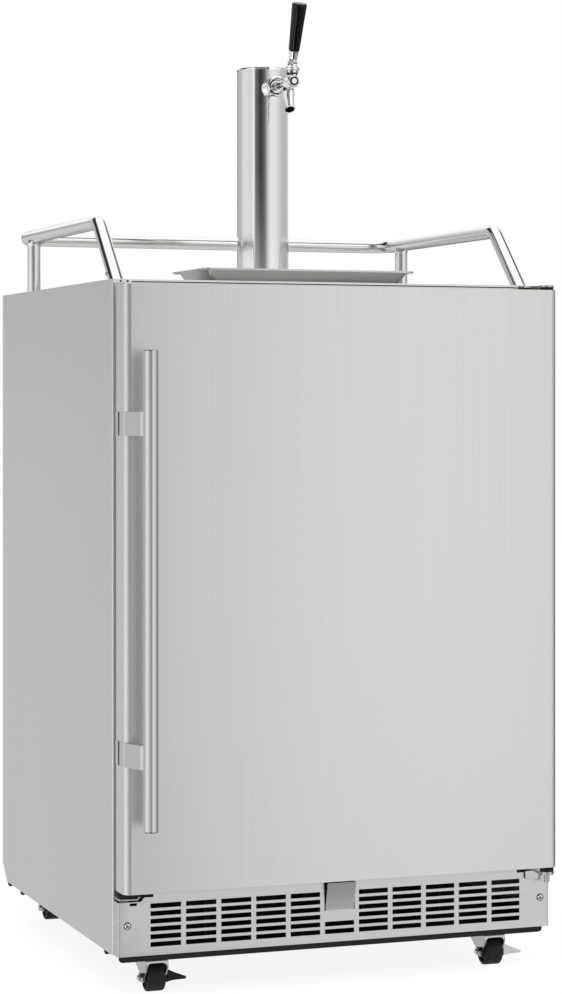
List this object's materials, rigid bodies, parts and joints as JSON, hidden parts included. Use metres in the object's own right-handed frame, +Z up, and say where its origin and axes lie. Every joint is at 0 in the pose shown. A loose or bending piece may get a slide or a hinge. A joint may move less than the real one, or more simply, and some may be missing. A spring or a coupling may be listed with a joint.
{
  "type": "kegerator",
  "caption": "Free-standing beer refrigerator on casters with a bar-handled door, slotted grille, guard rail, drip tray and a tap tower.",
  "frame": {"origin": "on the floor under the middle of the bounding box", "axes": "+Z up, the door faces -Y, +X to the right of someone who faces the door"},
  "size_m": [0.6, 0.6662, 1.2943],
  "materials": {
    "brushed_steel": "vertically brushed stainless steel",
    "polished_steel": "polished stainless steel tube",
    "chrome": "bright chrome",
    "zinc": "bright zinc plating",
    "black_steel": "satin black paint",
    "black_plastic": "satin black plastic",
    "white_plastic": "satin white plastic",
    "foam": "rigid foam",
    "gasket_rubber": "soft black rubber",
    "wheel_rubber": "hard black rubber",
    "lens": "frosted lens"
  },
  "bodies": {
    "cabinet": {"left_side_panel": "brushed_steel", "right_side_panel": "brushed_steel", "top_panel": "brushed_steel", "back_panel": "black_steel", "rear_cover": "black_steel", "base_pan": "black_steel", "plinth_strip": "black_steel", "foam_insulation": "foam", "inner_liner": "white_plastic", "kick_grille": "brushed_steel", "lower_hinge": "zinc", "upper_hinge": "zinc", "compressor": "black_steel", "condenser": "black_steel", "fan_shroud": "black_plastic", "power_inlet": "black_plastic", "evaporator_cover": "white_plastic", "control_housing": "white_plastic", "light_lens": "lens", "keg_plate": "brushed_steel", "gas_port_plug": "gasket_rubber", "guard_rail": "polished_steel", "tower_flange": "polished_steel", "tower_column": "polished_steel", "tower_cap": "chrome", "shank": "chrome", "coupling_nut": "chrome", "faucet_body": "chrome", "front_left_plate": "zinc", "front_right_plate": "zinc", "rear_left_plate": "zinc", "rear_right_plate": "zinc"},
    "door": {"door_skin": "brushed_steel", "door_liner": "white_plastic", "door_gasket": "gasket_rubber", "handle_bar": "brushed_steel", "upper_handle_bracket": "brushed_steel", "lower_handle_bracket": "brushed_steel", "lower_bushing": "black_plastic", "upper_bushing": "black_plastic"},
    "tap": {"tap_lever": "chrome", "tap_handle": "black_plastic"},
    "tray": {"drip_tray": "brushed_steel"},
    "grate": {"drip_grate": "brushed_steel"},
    "fan": {"condenser_fan": "black_plastic"},
    "knob": {"thermostat_knob": "black_plastic"},
    "front_left_swivel": {"front_left_fork": "zinc", "front_left_axle": "zinc"},
    "front_left_roller": {"front_left_wheel": "wheel_rubber"},
    "front_left_brake_lever": {"front_left_brake": "black_plastic"},
    "front_right_swivel": {"front_right_fork": "zinc", "front_right_axle": "zinc"},
    "front_right_roller": {"front_right_wheel": "wheel_rubber"},
    "front_right_brake_lever": {"front_right_brake": "zinc"},
    "rear_left_swivel": {"rear_left_fork": "zinc", "rear_left_axle": "zinc"},
    "rear_left_roller": {"rear_left_wheel": "wheel_rubber"},
    "rear_right_swivel": {"rear_right_fork": "zinc", "rear_right_axle": "zinc"},
    "rear_right_roller": {"rear_right_wheel": "wheel_rubber"}
  },
  "joints": [
    {"name": "door_hinge", "type": "hinge", "parent": "cabinet", "child": "door", "pos_m": [0.29, -0.26843, 0.5207], "axis": [0, 0, 1], "range_deg": [0, 110]},
    {"name": "tap_lever_hinge", "type": "hinge", "parent": "cabinet", "child": "tap", "pos_m": [0, -0.07842, 1.21], "axis": [1, 0, 0], "range_deg": [0, 25]},
    {"name": "tray_lift", "type": "slide", "parent": "cabinet", "child": "tray", "axis": [0, 0, 1], "range_m": [0, 0.08]},
    {"name": "grate_lift", "type": "slide", "parent": "tray", "child": "grate", "axis": [0, 0, 1], "range_m": [0, 0.06]},
    {"name": "fan_spin", "type": "hinge", "parent": "cabinet", "child": "fan", "pos_m": [0, -0.12612, 0.1013], "axis": [0, 1, 0], "continuous": true},
    {"name": "knob_turn", "type": "hinge", "parent": "cabinet", "child": "knob", "pos_m": [-0.062, -0.19542, 0.8427], "axis": [0, 1, 0], "range_deg": [0, 300]},
    {"name": "front_left_swivel_turn", "type": "hinge", "parent": "cabinet", "child": "front_left_swivel", "pos_m": [-0.236, -0.18743, 0.0459], "axis": [0, 0, 1], "continuous": true},
    {"name": "front_left_wheel_roll", "type": "hinge", "parent": "front_left_swivel", "child": "front_left_roller", "pos_m": [-0.236, -0.20542, 0.01825], "axis": [1, 0, 0], "continuous": true},
    {"name": "front_left_brake_press", "type": "hinge", "parent": "front_left_swivel", "child": "front_left_brake_lever", "pos_m": [-0.236, -0.20542, 0.01825], "axis": [1, 0, 0], "range_deg": [0, 25]},
    {"name": "front_right_swivel_turn", "type": "hinge", "parent": "cabinet", "child": "front_right_swivel", "pos_m": [0.236, -0.18743, 0.0459], "axis": [0, 0, 1], "continuous": true},
    {"name": "front_right_wheel_roll", "type": "hinge", "parent": "front_right_swivel", "child": "front_right_roller", "pos_m": [0.236, -0.20542, 0.01825], "axis": [1, 0, 0], "continuous": true},
    {"name": "front_right_brake_press", "type": "hinge", "parent": "front_right_swivel", "child": "front_right_brake_lever", "pos_m": [0.236, -0.20542, 0.01825], "axis": [1, 0, 0], "range_deg": [0, 25]},
    {"name": "rear_left_swivel_turn", "type": "hinge", "parent": "cabinet", "child": "rear_left_swivel", "pos_m": [-0.236, 0.27658, 0.0459], "axis": [0, 0, 1], "continuous": true},
    {"name": "rear_left_wheel_roll", "type": "hinge", "parent": "rear_left_swivel", "child": "rear_left_roller", "pos_m": [-0.236, 0.29457, 0.01825], "axis": [1, 0, 0], "continuous": true},
    {"name": "rear_right_swivel_turn", "type": "hinge", "parent": "cabinet", "child": "rear_right_swivel", "pos_m": [0.236, 0.27658, 0.0459], "axis": [0, 0, 1], "continuous": true},
    {"name": "rear_right_wheel_roll", "type": "hinge", "parent": "rear_right_swivel", "child": "rear_right_roller", "pos_m": [0.236, 0.29457, 0.01825], "axis": [1, 0, 0], "continuous": true}
  ]
}
